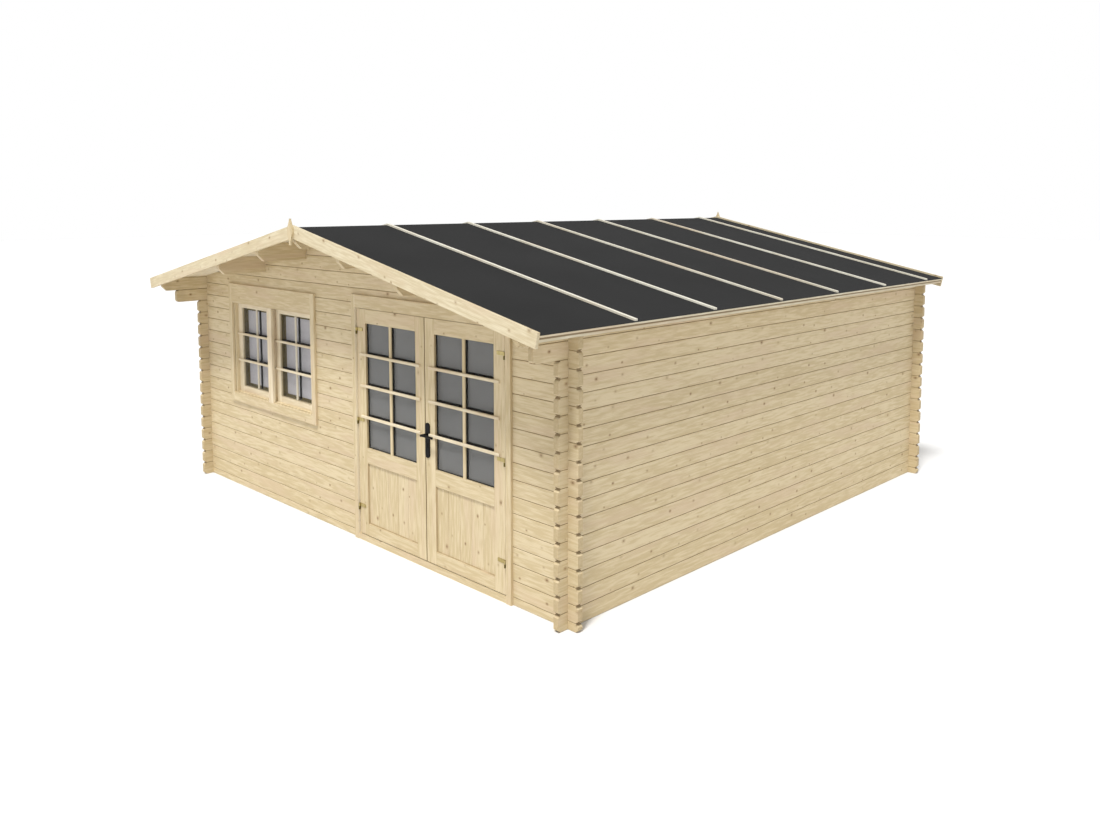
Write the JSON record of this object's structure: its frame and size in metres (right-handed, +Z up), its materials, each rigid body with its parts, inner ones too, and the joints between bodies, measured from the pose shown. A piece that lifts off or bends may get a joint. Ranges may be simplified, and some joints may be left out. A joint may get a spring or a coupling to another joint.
{
  "type": "log cabin",
  "caption": "Small garden log cabin with notched corners, a glazed double door, a wide barred window and a low felted roof that overhangs the front.",
  "frame": {"origin": "middle of the wall plan, on the ground, at the foot of the middle floor bearer", "axes": "+Z up, -Y out of the front wall with the door and window, +X to the right when facing the front from inside the frame"},
  "size_m": [5.222, 5.472, 2.5125],
  "materials": {
    "log_spruce": "planed, untreated",
    "trim_spruce": "planed, untreated",
    "roof_felt": "mineral felt",
    "clear_glass": "clear",
    "hinge_metal": "satin",
    "black_handle": "satin black"
  },
  "bodies": {
    "cabin": {"front_logs_left": "log_spruce", "front_logs_middle": "log_spruce", "front_logs_right": "log_spruce", "front_gable_logs": "log_spruce", "back_wall_logs": "log_spruce", "back_gable_logs": "log_spruce", "left_wall_logs": "log_spruce", "right_wall_logs": "log_spruce", "floor_bearers": "trim_spruce", "floor_boards": "trim_spruce", "ridge_purlin": "trim_spruce", "side_purlins": "trim_spruce", "roof_boards_left": "trim_spruce", "roof_boards_right": "trim_spruce", "roof_battens_left": "trim_spruce", "roof_battens_right": "trim_spruce", "eave_strips_left": "trim_spruce", "eave_strips_right": "trim_spruce", "front_barge_boards": "trim_spruce", "rear_barge_boards": "trim_spruce", "front_finial": "trim_spruce", "rear_finial": "trim_spruce", "window_frame": "trim_spruce", "window_casing": "trim_spruce", "window_mullion": "trim_spruce", "window_sash_left": "trim_spruce", "window_sash_right": "trim_spruce", "door_frame": "trim_spruce", "door_casing": "trim_spruce", "door_threshold": "trim_spruce", "roof_felt_left": "roof_felt", "roof_felt_right": "roof_felt", "window_glass": "clear_glass", "door_hinge_pins": "hinge_metal"},
    "left_door": {"left_door_frame": "trim_spruce", "left_door_panel": "trim_spruce", "left_door_glass": "clear_glass", "left_door_hinges": "hinge_metal"},
    "right_door": {"right_door_frame": "trim_spruce", "right_door_panel": "trim_spruce", "right_door_glass": "clear_glass", "right_door_hinges": "hinge_metal", "door_handle_plates": "black_handle"},
    "door_handle": {"door_levers": "black_handle"}
  },
  "joints": [
    {"name": "left_door_hinge", "type": "hinge", "parent": "cabin", "child": "left_door", "pos_m": [0.1755, -2.436, 0.9], "axis": [0, 0, -1], "range_deg": [0, 120]},
    {"name": "right_door_hinge", "type": "hinge", "parent": "cabin", "child": "right_door", "pos_m": [1.8625, -2.436, 0.9], "axis": [0, 0, 1], "range_deg": [0, 120]},
    {"name": "lever_turn", "type": "hinge", "parent": "right_door", "child": "door_handle", "pos_m": [1.0465, -2.42, 0.992], "axis": [0, 1, 0], "range_deg": [0, 40], "stiffness_Nm_per_rad": 1.2, "springref_deg": -34.38}
  ]
}
